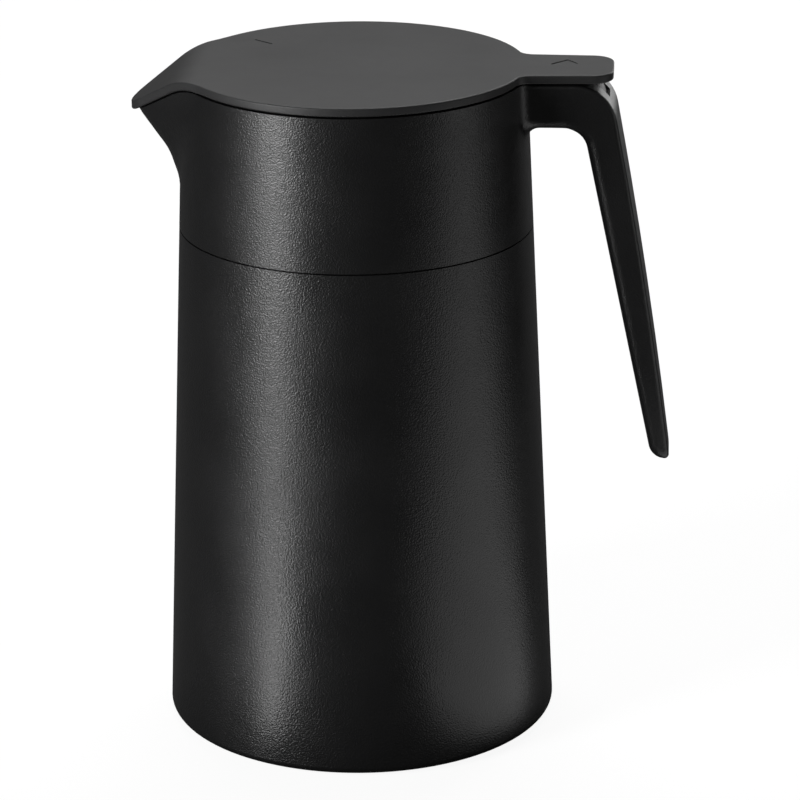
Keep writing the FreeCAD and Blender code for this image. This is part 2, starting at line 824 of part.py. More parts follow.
def make_upper_casing():
    """The moulded casing: tapering wall, spout, arm and grip in one, with the screw lugs."""
    handle = make_handle_blank()
    low = CASING_BOTTOM.number
    top = (RIM_HEIGHT + 3 * dim("root_round")).number
    wall = number("casing_wall")
    solid = casing_solid(low, top, 0).fuse(handle.Shape).removeSplitter()
    roots = [edge for edge in solid.Edges if is_root_edge(edge)]
    solid = solid.makeFillet(number("root_round"), roots).common(under_lip(LIP_DEPTH.number))
    solid = solid.cut(casing_solid(low - wall, top, wall))
    lug_root = cone_radius(LUG_TOP) - dim("casing_wall") / 2
    lugs = [turned_box("lug_%d" % angle,
                       (dim("boss_circle") - dim("boss_radius"), -dim("lug_half_width"), LUG_BOTTOM),
                       (lug_root, dim("lug_half_width"), LUG_TOP), angle)
            for angle in BOSS_ANGLES]
    holes = [cylinder("lug_hole", SCREW_HOLE, 2 * dim("lug_thickness"), x, y,
                      LUG_BOTTOM - dim("lug_thickness") / 2)
             for x, y in around(dim("boss_circle"), BOSS_ANGLES)]
    removed = [grip_channel()] + hinge_slot() + holes
    doc.recompute()
    solid = solid.fuse([lug.Shape for lug in lugs])
    return shape_object("upper_casing", solid.cut([tool.Shape for tool in removed]))


def make_handle_cover():
    """The plate that closes the grip's hollow side."""
    low = dim("channel_bottom") + dim("cover_plate_gap")
    high = dim("channel_top") - dim("cover_plate_gap")
    deep = dim("cover_plate_thickness")
    return padded_body("handle_cover", "XZ_Plane", [
        (grip_front(low), low), (grip_front(low) + deep, low),
        (grip_front(high) + deep, high), (grip_front(high), high),
    ], dim("channel_half_width") - dim("cover_plate_gap"))


# ---------------------------------------------------------------------------------------------
# Pouring bowl inside the casing
# ---------------------------------------------------------------------------------------------

SKIRT_BOTTOM = MOUTH - dim("skirt_length")
SKIRT_INSIDE = NECK_RADIUS + dim("bowl_fit")
SKIRT_OUTSIDE = SKIRT_INSIDE + dim("skirt_wall")
STEP_HEIGHT = MOUTH + dim("gasket_thickness")
SEAT_BOTTOM = MOUTH_RADIUS - dim("neck_gap")
SEAT_TOP_HEIGHT = STEP_HEIGHT + dim("seat_depth")


def funnel(foot_height, foot_radius, inset):
    """A solid that widens from a circle to the casing's outline, and the one above it."""
    first = foot_height.number
    second = (foot_height + dim("funnel_rise")).number
    top = RIM_HEIGHT.number + number("seam_gap")
    foot = lofted([(first, lambda angle: foot_radius.number),
                   (second, body_outline(second, inset.number))])
    return foot, casing_solid(second, top, inset.number)


def make_pouring_bowl():
    """The bowl: skirt on the flask's neck, seat for the plug's seal, funnel and spout channel."""
    outside = dim("casing_wall") + dim("bowl_fit")
    seat_top = SEAT_BOTTOM + dim("seat_depth")
    ledge = dim("bowl_ledge")
    shell_foot, shell_upper = funnel(STEP_HEIGHT, SKIRT_OUTSIDE + ledge, outside)
    basin_foot, basin_upper = funnel(SEAT_TOP_HEIGHT, seat_top + ledge,
                                     outside + dim("bowl_wall"))
    upper = shell_upper.common(under_lip(LIP_DEPTH.number)).cut(basin_upper).cut(basin_foot)

    skirt = cylinder("bowl_skirt", SKIRT_OUTSIDE, STEP_HEIGHT + ledge - SKIRT_BOTTOM,
                     z=SKIRT_BOTTOM)
    places = around(dim("boss_circle"), BOSS_ANGLES)
    bosses = [cylinder("bowl_boss", dim("boss_radius"), dim("boss_length"), x, y,
                       dim("boss_bottom")) for x, y in places]
    mouth = revolved_body("bowl_mouth", [
        (0, SKIRT_BOTTOM), (SKIRT_INSIDE, SKIRT_BOTTOM), (SKIRT_INSIDE, STEP_HEIGHT),
        (SEAT_BOTTOM, STEP_HEIGHT), (seat_top, SEAT_TOP_HEIGHT),
        (seat_top, SEAT_TOP_HEIGHT + ledge), (0, SEAT_TOP_HEIGHT + ledge)])
    pilots = [cylinder("bowl_pilot", PILOT_HOLE, screw_bite() + dim("screw_radius"), x, y,
                       dim("boss_bottom")) for x, y in places]
    doc.recompute()
    lower = shell_foot.fuse([piece.Shape for piece in [skirt] + bosses])
    lower = lower.cut(mouth.Shape).cut(basin_foot).cut([pilot.Shape for pilot in pilots])
    return shape_object("pouring_bowl", lower.fuse(upper))


def screw_bite():
    """How far a screw reaches into its boss."""
    return dim("screw_length") - dim("lug_thickness")


def screws(label, places, head_bottom, length):
    """Screws pointing up, with their heads' undersides at one height, as one set."""
    pieces = []
    for x, y in places:
        shank = cylinder("screw_shank", dim("screw_radius"), length, x, y,
                         head_bottom + dim("screw_head_height"))
        head = cylinder("screw_head", dim("screw_head_radius"), dim("screw_head_height"), x, y,
                        head_bottom)
        pieces.append(fused("screw", [shank, head]))
    return fused(label, pieces)


def make_casing_screws():
    """The four screws that draw the bowl's bosses down onto the casing's lugs."""
    return screws("casing_screws", around(dim("boss_circle"), BOSS_ANGLES),
                  LUG_BOTTOM - dim("screw_head_height"), dim("screw_length"))


def make_neck_gasket():
    """The flat ring between the flask's mouth and the bowl."""
    outer = SKIRT_INSIDE - dim("foil_gap")
    return ring("neck_gasket", outer - dim("gasket_width"), outer, MOUTH, STEP_HEIGHT)


def make_locking_ring():
    """The band that clamps the bowl's skirt on the neck."""
    inner = SKIRT_OUTSIDE + dim("locking_ring_gap")
    low = SKIRT_BOTTOM + 1
    return ring("locking_ring", inner, inner + dim("locking_ring_wall"),
                low, low + dim("locking_ring_height"))


def ring(label, inner, outer, low, high):
    """A turned ring of rectangular section."""
    return revolved_body(label, [(inner, low), (outer, low), (outer, high), (inner, high)])


# ---------------------------------------------------------------------------------------------
# Hinge pin, its plug and the closing spring
# ---------------------------------------------------------------------------------------------

def make_hinge_pin():
    """The pin through the arm's two cheeks and the lid's barrel."""
    return cylinder("hinge_pin", dim("pin_radius"), dim("pin_inner_end") + dim("pin_outer_end"),
                    HINGE_X, -dim("pin_inner_end"), HINGE_Z, "Y")


def make_pin_plug():
    """The plug that hides the pin's end in the arm's far side."""
    return cylinder("pin_plug", dim("pin_plug_radius"), dim("pin_plug_depth"), HINGE_X,
                    dim("arm_half_width") - dim("pin_plug_depth"), HINGE_Z, "Y")


BENDS_PER_TURN = 12
MITRED = 1


def spring_bends():
    """Where the spring's wire bends, from the end of its fixed leg to that of its moving leg."""
    coil = number("spring_coil_radius")
    half = number("spring_half_width")
    steps = round(BENDS_PER_TURN * number("spring_turns"))
    centre = Vector(HINGE_X.number, 0, HINGE_Z.number)
    bends = []
    for step in range(steps + 1):
        turned = 2 * math.pi * step / BENDS_PER_TURN
        bends.append(centre + Vector(coil * math.sin(turned), half * (2 * step / steps - 1),
                                     -coil * math.cos(turned)))
    fixed_leg = Vector(HINGE_X.number - LEG_REACH.number, 0, 0)
    moving_leg = Vector(number("spring_moving_leg"), 0, 0)
    return [bends[0] - fixed_leg] + bends + [bends[-1] - moving_leg]


def make_lid_spring():
    """The torsion spring round the pin, with one leg in the arm and one in the lid's neck."""
    bends = spring_bends()
    section = Part.Wire([Part.makeCircle(number("spring_wire") / 2, bends[0], Vector(1, 0, 0))])
    wire = Part.makePolygon(bends).makePipeShell([section], True, False, MITRED)
    return shape_object("lid_spring", wire)


# ---------------------------------------------------------------------------------------------
# Flip lid
# ---------------------------------------------------------------------------------------------

DECK_BOTTOM = dim("plug_deck_height")
DECK_TOP = DECK_BOTTOM + dim("plug_deck_thickness")
PILOT_DEPTH = dim("lid_screw_bite") + dim("screw_radius") / 2
ARROW_MARK = ((62.9, 1.2), (67.7, 6.4), (70.6, 2.2))
POUR_MARK = ((-34.5, 28.4), (-29.0, 23.4))
LID_SCREW_ANGLES = (45, 135, 225, 315)


def groove(label, points):
    """A shallow engraved line with round ends, through the given places on the plate's top."""
    low = dim("body_height") - dim("mark_depth")
    wide = dim("mark_width") / 2
    strokes = [cylinder("stroke_end", wide, dim("plate_thickness"), x, y, low)
               for x, y in points]
    for (x, y), (next_x, next_y) in zip(points, points[1:]):
        length = math.hypot(next_x - x, next_y - y)
        angle = math.degrees(math.atan2(next_y - y, next_x - x))
        stroke = turned_box("stroke", (0, -wide, low), (length, wide, low + 1), angle)
        turned = Rotation(Vector(0, 0, 1), angle).multVec(Vector(0, wide.number, 0))
        move_to(stroke, x - turned.x, y - turned.y, low)
        strokes.append(stroke)
    return fused(label, strokes)


def is_plate_edge(edge):
    """Whether an edge runs round the plate at its top or its underside."""
    places = [edge.valueAt(edge.FirstParameter + share * (edge.LastParameter - edge.FirstParameter))
              for share in (0, 0.5, 1)]
    upright = max(place.z for place in places) - min(place.z for place in places)
    across = (places[0] - places[2]).Length
    return not (abs(upright - number("plate_thickness")) < 1 and across < 1.5 * upright)


def bent_plate():
    """The plate's shape: outline with spout lip and thumb tab, thickness, rounded edges."""
    low = -number("base_radius")
    high = 2 * number("body_height") - low
    reach = number("lip_reach")
    disc = number("top_radius")
    outline = rim_wire(low, lambda angle: soft_max(disc, beak_radius(angle, reach), LIP_BLEND))
    prism = Part.Face(outline).extrude(Vector(0, 0, high))
    root = dim("top_radius") * ROOT_DEPTH
    tab = padded_body("tab_prism", "XY_Plane", [
        (root, -dim("tab_root_half_width")), (dim("tab_reach"), -dim("tab_end_half_width")),
        (dim("tab_reach"), dim("tab_end_half_width")), (root, dim("tab_root_half_width")),
    ], dim("body_height") + dim("base_radius"))
    plan = prism.fuse(tab.Shape.common(Part.makeBox(
        high, high, high, Vector(0, -high / 2, low)))).removeSplitter()
    corner = (number("tab_reach") + disc) / 2
    upright = [edge for edge in plan.Edges
               if edge.BoundBox.XLength + edge.BoundBox.YLength < 0.01
               and edge.CenterOfMass.x > root.number + 1]
    plan = plan.makeFillet(number("tab_corner_radius"),
                           [edge for edge in upright if edge.CenterOfMass.x > corner])
    upright = [edge for edge in plan.Edges
               if edge.BoundBox.XLength + edge.BoundBox.YLength < 0.01
               and root.number + 1 < edge.CenterOfMass.x < corner
               and abs(edge.CenterOfMass.y) < number("tab_root_half_width")]
    plan = plan.makeFillet(number("tab_root_round"), upright)
    plate = plan.common(under_lip(0)).cut(under_lip(number("plate_thickness")))
    rims = [edge for edge in plate.Edges if is_plate_edge(edge)]
    return plate.makeFillet(number("plate_edge_round"), rims)


def make_lid_plate():
    """The lid's plate with its screw bosses and hinge barrel, and the marks on its top."""
    plate = shape_object("lid_bent_plate", bent_plate())
    bosses = [cylinder("lid_boss", dim("lid_boss_radius"), PLATE_UNDERSIDE - DECK_TOP, x, y,
                       DECK_TOP) for x, y in around(dim("lid_screw_circle"), LID_SCREW_ANGLES)]
    neck = box("lid_neck", (HINGE_X - BARREL, -BARREL_HALF, HINGE_Z),
               (HINGE_X + BARREL / 10, BARREL_HALF, PLATE_UNDERSIDE))
    barrel = cylinder("lid_barrel", BARREL, 2 * BARREL_HALF, HINGE_X, -BARREL_HALF, HINGE_Z, "Y")
    whole = fused("lid_whole", [plate, neck, barrel] + bosses)

    pocket = dim("spring_coil_radius") + dim("spring_wire") / 2 + dim("spring_pocket_gap")
    pocket_half = dim("spring_half_width") + dim("spring_wire") / 2 + dim("spring_leg_gap") * 2
    leg_half = dim("spring_wire") / 2 + dim("spring_leg_gap") * 2
    moving = dim("spring_half_width")
    coil = dim("spring_coil_radius")
    removed = [
        cylinder("barrel_bore", dim("pin_radius") + dim("pin_running_clearance"),
                 2 * BARREL_HALF + 2, HINGE_X, -BARREL_HALF - 1, HINGE_Z, "Y"),
        cylinder("spring_pocket", pocket, 2 * pocket_half, HINGE_X, -pocket_half, HINGE_Z, "Y"),
        box("pocket_mouth", (HINGE_X - SLOT_RADIUS, -pocket_half, HINGE_Z - 2 * BARREL),
            (HINGE_X + pocket, pocket_half, HINGE_Z - coil + leg_half)),
        box("leg_slot", (HINGE_X - SLOT_RADIUS, moving - leg_half, HINGE_Z + coil - leg_half),
            (HINGE_X, moving + leg_half, HINGE_Z + coil + leg_half)),
        groove("arrow_mark", ARROW_MARK),
        groove("pour_mark", POUR_MARK),
    ]
    removed += [cylinder("lid_pilot", PILOT_HOLE, PILOT_DEPTH, x, y, DECK_TOP)
                for x, y in around(dim("lid_screw_circle"), LID_SCREW_ANGLES)]
    return cut("lid_plate", whole, removed)


# ---------------------------------------------------------------------------------------------
# Insulated plug under the lid
# ---------------------------------------------------------------------------------------------

PLUG_RADIUS = dim("plug_radius")
PLUG_INSIDE = PLUG_RADIUS - dim("plug_wall")
PLUG_FLOOR = dim("plug_floor")
GROOVE_RADIUS = PLUG_RADIUS - dim("seal_groove_depth")
SEAL_BOTTOM = STEP_HEIGHT + dim("seal_rise")
SEAL_TOP = SEAL_BOTTOM + dim("seal_height")
GROOVE_PLAY = dim("weld_gap") * 2


def make_plug_housing():
    """The plug's moulding: tapering wall with the seal's groove, and a deck for the screws."""
    taper = dim("plug_taper")
    groove_low = SEAL_BOTTOM - GROOVE_PLAY
    groove_high = SEAL_TOP + GROOVE_PLAY
    solid = revolved_body("plug_turned", [
        (PLUG_INSIDE - taper, PLUG_FLOOR), (PLUG_RADIUS - taper, PLUG_FLOOR),
        (PLUG_RADIUS, groove_low), (GROOVE_RADIUS, groove_low), (GROOVE_RADIUS, groove_high),
        (PLUG_RADIUS, groove_high), (PLUG_RADIUS, PLATE_UNDERSIDE),
        (PLUG_INSIDE, PLATE_UNDERSIDE), (PLUG_INSIDE, DECK_TOP), (0, DECK_TOP), (0, DECK_BOTTOM),
        (PLUG_INSIDE, DECK_BOTTOM), (PLUG_INSIDE, groove_low)])
    holes = [cylinder("deck_hole", SCREW_HOLE, 2 * dim("plug_deck_thickness"), x, y,
                      DECK_BOTTOM - dim("plug_deck_thickness") / 2)
             for x, y in around(dim("lid_screw_circle"), LID_SCREW_ANGLES)]
    return cut("plug_housing", solid, holes)


def make_plug_seal():
    """The rubber ring in the plug's groove, bevelled to meet the bowl's conical seat."""
    inner = GROOVE_RADIUS + GROOVE_PLAY
    seat_radius = SEAT_BOTTOM + dim("seal_rise") - dim("seal_seat_gap") * DIAGONAL
    bevel = dim("seal_height") * 0.55
    return revolved_body("plug_seal", [
        (inner, SEAL_BOTTOM), (seat_radius, SEAL_BOTTOM),
        (seat_radius + bevel, SEAL_BOTTOM + bevel), (seat_radius + bevel, SEAL_TOP),
        (inner, SEAL_TOP)])


def make_plug_insulation():
    """The foam block inside the plug."""
    low = PLUG_FLOOR + dim("cap_floor") + dim("foam_gap")
    high = DECK_BOTTOM - dim("screw_head_height") - 2 * dim("foam_gap")
    return cylinder("plug_insulation", PLUG_INSIDE - dim("foam_room"), high - low, z=low)


def make_plug_cap():
    """The cap that closes the plug from below, with a ring that fits inside the wall."""
    outer = PLUG_RADIUS - dim("plug_taper")
    ring_outer = PLUG_INSIDE - dim("plug_taper") - dim("cap_fit")
    ring_inner = ring_outer - dim("cap_ring_wall")
    low = PLUG_FLOOR - dim("cap_rim")
    body = revolved_body("plug_cap", [
        (0, low), (outer, low), (outer, PLUG_FLOOR), (ring_outer, PLUG_FLOOR),
        (ring_outer, PLUG_FLOOR + dim("cap_ring_rise")),
        (ring_inner, PLUG_FLOOR + dim("cap_ring_rise")),
        (ring_inner, PLUG_FLOOR + dim("cap_floor")), (0, PLUG_FLOOR + dim("cap_floor"))])
    round_rings(body, [(outer, low)], dim("cap_edge_round"))
    return body


def make_lid_screws():
    """The four screws that hold the plug under the lid's plate."""
    return screws("lid_screws", around(dim("lid_screw_circle"), LID_SCREW_ANGLES),
                  DECK_BOTTOM - dim("screw_head_height"),
                  dim("plug_deck_thickness") + dim("lid_screw_bite"))


# ---------------------------------------------------------------------------------------------
# Build and export
# ---------------------------------------------------------------------------------------------

MAKERS = (
    make_outer_shell, make_inner_flask, make_vacuum_base, make_vacuum_seal, make_getter,
    make_foil_wrap, make_base_cover, make_base_pad, make_upper_casing, make_handle_cover,
    make_pouring_bowl, make_casing_screws, make_neck_gasket, make_locking_ring, make_hinge_pin,
    make_pin_plug, make_lid_spring, make_lid_plate, make_plug_housing, make_plug_seal,
    make_plug_insulation, make_plug_cap, make_lid_screws,
)

parts = [make() for make in MAKERS]
doc.recompute()

for item in doc.Objects:
    if "Invalid" in item.State or "Error" in item.State:
        raise RuntimeError("%s does not build: %s" % (item.Label, item.State))
for item in parts:
    if item.Shape.isNull() or not item.Shape.isValid():
        raise RuntimeError("%s has no valid shape" % item.Label)

os.makedirs("parts", exist_ok=True)
for item in parts:
    item.Shape.exportStep("parts/%s.step" % item.Label)
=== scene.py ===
"""Studio scene of a thermal carafe with a flip lid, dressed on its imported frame.

The frame gives every piece its shape and place. This file refines the surfaces that show, gives
each piece its finish, and sets up the floor, the lamps and the camera.
"""
from __future__ import annotations

import logging
import math
from dataclasses import dataclass, field
from enum import Enum

import bmesh
import bpy
from mathutils import Matrix, Vector


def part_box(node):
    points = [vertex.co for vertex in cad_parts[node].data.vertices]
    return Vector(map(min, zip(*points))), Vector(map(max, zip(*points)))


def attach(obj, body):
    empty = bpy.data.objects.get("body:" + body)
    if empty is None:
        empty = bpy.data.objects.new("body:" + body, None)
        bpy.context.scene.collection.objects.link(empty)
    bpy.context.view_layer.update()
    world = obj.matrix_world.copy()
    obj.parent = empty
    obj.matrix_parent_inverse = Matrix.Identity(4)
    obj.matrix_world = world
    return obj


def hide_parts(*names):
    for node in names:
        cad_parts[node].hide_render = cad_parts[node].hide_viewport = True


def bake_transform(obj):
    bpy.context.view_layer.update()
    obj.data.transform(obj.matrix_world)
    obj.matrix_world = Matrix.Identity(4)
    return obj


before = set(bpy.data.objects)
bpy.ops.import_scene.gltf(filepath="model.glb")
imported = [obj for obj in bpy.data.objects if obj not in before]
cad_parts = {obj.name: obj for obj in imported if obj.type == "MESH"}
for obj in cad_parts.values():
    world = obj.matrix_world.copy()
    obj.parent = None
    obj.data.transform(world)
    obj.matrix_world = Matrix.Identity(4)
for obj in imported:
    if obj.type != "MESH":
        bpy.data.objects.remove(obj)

log = logging.getLogger("carafe")

MM = 0.001
COLOUR_SWING = 0.18
PATCH_PITCH = 25 * MM
PLASTIC_GLOSS_SWING = 0.04
METAL_GLOSS_SWING = 0.02
BRUSH_STRETCH = (1.0, 1.0, 14.0)
NOISE_LOW = 0.3
NOISE_HIGH = 0.7
FINE_OCTAVES = 2.0
ROUGH_OCTAVES = 3.0
FACE_WEIGHT = 90


# ------------------------------------------------------------------------------------------------
# Finishes
# ------------------------------------------------------------------------------------------------

class Grain(Enum):
    """How a surface is broken up on a small scale."""

    POWDER = "powder"
    MOULDED = "moulded"
    BRUSHED = "brushed"
    RUBBER = "rubber"
    FOAM = "foam"


@dataclass(frozen=True)
class Finish:
    """The look of one material: its colour, gloss and the grain of its surface.

    Attributes:
        name: the material's name.
        colour: base colour as linear red, green and blue.
        roughness: mean roughness, 0 to 1.
        metallic: 1 for bare metal, 0 for anything else.
        grain: kind of grain.
        pitch: size of one grain in metres.
        depth: height of the grain in metres.
        specular: specular level of the coat, 0.5 for plain plastic.
    """

    name: str
    colour: tuple[float, float, float]
    roughness: float
    metallic: float = 0.0
    grain: Grain = Grain.MOULDED
    pitch: float = 0.6 * MM
    depth: float = 0.02 * MM
    specular: float = 0.5

    def build(self) -> bpy.types.Material:
        """Make the material with its nodes.

        Returns:
            The new material.
        """
        material = bpy.data.materials.new(self.name)
        material.use_nodes = True
        tree = material.node_tree
        tree.nodes.clear()
        output = tree.nodes.new("ShaderNodeOutputMaterial")
        shader = tree.nodes.new("ShaderNodeBsdfPrincipled")
        tree.links.new(shader.outputs["BSDF"], output.inputs["Surface"])
        shader.inputs["Metallic"].default_value = self.metallic
        shader.inputs["Specular IOR Level"].default_value = self.specular
        place = tree.nodes.new("ShaderNodeTexCoord")
        self._colour(tree, shader, place)
        self._gloss(tree, shader, place)
        self._relief(tree, shader, place)
        return material

    def _noise(self, tree: bpy.types.NodeTree, place: bpy.types.Node, pitch: float,
               stretch: tuple[float, float, float] = (1.0, 1.0, 1.0),
               detail: float = FINE_OCTAVES) -> bpy.types.Node:
        """Add a noise whose features are about one pitch wide.

        Args:
            tree: the material's nodes.
            place: the texture coordinate node.
            pitch: feature size in metres.
            stretch: extra scale along X, Y and Z, above 1 for finer features.
            detail: number of finer octaves.

        Returns:
            The noise node.
        """
        mapping = tree.nodes.new("ShaderNodeMapping")
        mapping.inputs["Scale"].default_value = stretch
        noise = tree.nodes.new("ShaderNodeTexNoise")
        noise.inputs["Scale"].default_value = 1.0 / pitch
        noise.inputs["Detail"].default_value = detail
        tree.links.new(place.outputs["Object"], mapping.inputs["Vector"])
        tree.links.new(mapping.outputs["Vector"], noise.inputs["Vector"])
        return noise

    def _spread(self, tree: bpy.types.NodeTree, source: bpy.types.NodeSocket,
                low: float, high: float) -> bpy.types.NodeSocket:
        """Map a noise value to a range.

        Args:
            tree: the material's nodes.
            source: a value between 0 and 1.
            low: result where the source is low.
            high: result where the source is high.

        Returns:
            The mapped value.
        """
        ramp = tree.nodes.new("ShaderNodeMapRange")
        ramp.inputs["From Min"].default_value = NOISE_LOW
        ramp.inputs["From Max"].default_value = NOISE_HIGH
        ramp.inputs["To Min"].default_value = low
        ramp.inputs["To Max"].default_value = high
        tree.links.new(source, ramp.inputs["Value"])
        return ramp.outputs["Result"]

    def _colour(self, tree: bpy.types.NodeTree, shader: bpy.types.Node,
                place: bpy.types.Node) -> None:
        """Vary the base colour slightly from grain to grain.

        Args:
            tree: the material's nodes.
            shader: the surface shader.
            place: the texture coordinate node.
        """
        fine = self._noise(tree, place, self.pitch)
        mix = tree.nodes.new("ShaderNodeMix")
        mix.data_type = "RGBA"
        mix.inputs["A"].default_value = (
            *[(1 - COLOUR_SWING) * part for part in self.colour], 1.0)
        mix.inputs["B"].default_value = (
            *[(1 + COLOUR_SWING) * part for part in self.colour], 1.0)
        tree.links.new(self._spread(tree, fine.outputs["Fac"], 0.0, 1.0), mix.inputs["Factor"])
        tree.links.new(mix.outputs["Result"], shader.inputs["Base Color"])

    def _gloss(self, tree: bpy.types.NodeTree, shader: bpy.types.Node,
               place: bpy.types.Node) -> None:
        """Vary the roughness over patches a few centimetres wide, as handling leaves it.

        Args:
            tree: the material's nodes.
            shader: the surface shader.
            place: the texture coordinate node.
        """
        broad = self._noise(tree, place, PATCH_PITCH, detail=ROUGH_OCTAVES)
        swing = METAL_GLOSS_SWING if self.metallic else PLASTIC_GLOSS_SWING
        tree.links.new(
            self._spread(tree, broad.outputs["Fac"], self.roughness - swing,
                         self.roughness + swing), shader.inputs["Roughness"])

    def _relief(self, tree: bpy.types.NodeTree, shader: bpy.types.Node,
                place: bpy.types.Node) -> None:
        """Raise the grain as a bump.

        Args:
            tree: the material's nodes.
            shader: the surface shader.
            place: the texture coordinate node.
        """
        bump = tree.nodes.new("ShaderNodeBump")
        bump.inputs["Distance"].default_value = self.depth
        bump.inputs["Strength"].default_value = 1.0
        if self.grain is Grain.BRUSHED:
            height = self._noise(tree, place, self.pitch, BRUSH_STRETCH).outputs["Fac"]
        elif self.grain is Grain.FOAM:
            cells = tree.nodes.new("ShaderNodeTexVoronoi")
            cells.inputs["Scale"].default_value = 1.0 / self.pitch
            tree.links.new(place.outputs["Object"], cells.inputs["Vector"])
            height = cells.outputs["Distance"]
        else:
            octaves = 0.0 if self.grain is Grain.POWDER else ROUGH_OCTAVES
            height = self._noise(tree, place, self.pitch, detail=octaves).outputs["Fac"]
        tree.links.new(height, bump.inputs["Height"])
        tree.links.new(bump.outputs["Normal"], shader.inputs["Normal"])


POWDER_COAT = Finish("powder_coat", (0.005, 0.005, 0.0052), 0.34, grain=Grain.POWDER,
                     pitch=0.5 * MM, depth=0.1 * MM, specular=0.6)
CASING_GRAIN = Finish("casing_grain", (0.005, 0.005, 0.0052), 0.33, grain=Grain.POWDER,
                      pitch=0.45 * MM, depth=0.085 * MM, specular=0.6)
LID_SATIN = Finish("lid_satin", (0.016, 0.016, 0.0165), 0.50, pitch=0.35 * MM, depth=0.012 * MM)
INNER_PLASTIC = Finish("inner_plastic", (0.022, 0.022, 0.023), 0.42, pitch=0.4 * MM,
                       depth=0.008 * MM)
FOOT_RUBBER = Finish("foot_rubber", (0.022, 0.022, 0.022), 0.75, grain=Grain.RUBBER,
                     pitch=0.3 * MM, depth=0.03 * MM)
SEAL_RUBBER = Finish("seal_rubber", (0.04, 0.04, 0.041), 0.6, grain=Grain.RUBBER,
                     pitch=0.25 * MM, depth=0.01 * MM)
LINER_STEEL = Finish("liner_steel", (0.58, 0.58, 0.57), 0.27, metallic=1.0, grain=Grain.BRUSHED,
                     pitch=1.6 * MM, depth=0.006 * MM)
PIN_STEEL = Finish("pin_steel", (0.6, 0.6, 0.59), 0.22, metallic=1.0, grain=Grain.BRUSHED,
                   pitch=0.8 * MM, depth=0.004 * MM)
SOLDER = Finish("solder", (0.5, 0.5, 0.49), 0.4, metallic=1.0, pitch=0.5 * MM, depth=0.02 * MM)
FOIL = Finish("foil", (0.8, 0.8, 0.8), 0.18, metallic=1.0, pitch=6 * MM, depth=0.25 * MM)
FOAM_BLOCK = Finish("foam_block", (0.78, 0.77, 0.72), 0.85, grain=Grain.FOAM, pitch=1.2 * MM,
                    depth=0.3 * MM)


# ------------------------------------------------------------------------------------------------
# Pieces
# ------------------------------------------------------------------------------------------------

@dataclass
class Dressing:
    """What the sub-assemblies share: finishing the frame's nodes.

    Attributes:
        body: the moving body that the pieces ride on.
        crease: edges that turn by more than this many degrees stay sharp.
        weld: points nearer than this are one point.
    """

    body: str
    crease: float = 32.0
    weld: float = 0.002 * MM

    def finish_node(self, node: str, material: bpy.types.Material) -> None:
        """Give a node of the frame its material.

        Args:
            node: the node's name.
            material: the finish it takes.
        """
        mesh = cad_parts[node].data
        mesh.materials.clear()
        mesh.materials.append(material)
        log.info("finished %s with %s", node, material.name)

    def smooth_copy(self, node: str, material: bpy.types.Material,
                    twist: tuple[Vector, Vector] | None = None) -> bpy.types.Object:
        """Stand a welded, smoothly shaded copy of a node in for it.

        Args:
            node: the node's name.
            material: the finish it takes.
            twist: two points for a turn with the lid; their values are not used, and when they
                are given the copy is not attached to a body.

        Returns:
            The copy.
        """
        work = bmesh.new()
        work.from_mesh(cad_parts[node].data)
        bmesh.ops.remove_doubles(work, verts=work.verts, dist=self.weld)
        bmesh.ops.dissolve_degenerate(work, edges=work.edges, dist=self.weld)
        limit = math.radians(self.crease)
        for edge in work.edges:
            edge.smooth = edge.is_manifold and edge.calc_face_angle(0.0) < limit
        for face in work.faces:
            face.smooth = True
            face.material_index = 0
        mesh = bpy.data.meshes.new(node + "_surface")
        work.to_mesh(mesh)
        work.free()
        piece = bpy.data.objects.new(node + "_surface", mesh)
        bpy.context.scene.collection.objects.link(piece)
        mesh.materials.append(material)
        weighted = piece.modifiers.new("Weighted", "WEIGHTED_NORMAL")
        weighted.keep_sharp = True
        weighted.weight = FACE_WEIGHT
        if twist is None:
            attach(piece, self.body)
        else:
            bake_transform(piece)
        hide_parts(node)
        log.info("smoothed %s, %d faces", node, len(mesh.polygons))
        return piece


@dataclass
class Flask(Dressing):
    """The steel vacuum flask with its foot."""

    body: str = "jug"
    metal_nodes: tuple[str, ...] = ("inner_flask", "vacuum_base")

    def dress(self) -> None:
        """Finish the flask's pieces."""
        self.smooth_copy("outer_shell", POWDER_COAT.build())
        steel = LINER_STEEL.build()
        for node in self.metal_nodes:
            self.smooth_copy(node, steel)
        solder = SOLDER.build()
        for node in ("vacuum_seal", "getter"):
            self.finish_node(node, solder)
        self.finish_node("foil_wrap", FOIL.build())
        self.finish_node("base_cover", INNER_PLASTIC.build())
        self.smooth_copy("base_pad", FOOT_RUBBER.build())


@dataclass
class Casing(Dressing):
    """The moulded casing with spout and handle, the pouring bowl and their fasteners.

    Attributes:
        spring_wire: thickness of the spring's wire in metres.
    """

    body: str = "jug"
    spring_wire: float = 0.8 * MM

    def dress(self) -> None:
        """Finish the casing's pieces."""
        self.smooth_copy("upper_casing", CASING_GRAIN.build())
        plastic = INNER_PLASTIC.build()
        self.smooth_copy("pouring_bowl", plastic)
        for node in ("handle_cover", "locking_ring", "pin_plug"):
            self.finish_node(node, plastic)
        self.finish_node("neck_gasket", SEAL_RUBBER.build())
        steel = PIN_STEEL.build()
        for node in ("casing_screws", "hinge_pin"):
            self.smooth_copy(node, steel)
        low, high = (Vector(corner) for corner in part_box("lid_spring"))
        wire = Vector((0.0, self.spring_wire, 0.0))
        self.smooth_copy("lid_spring", steel, (Vector((high.x, low.y, high.z)) + wire,
                                               high - wire))


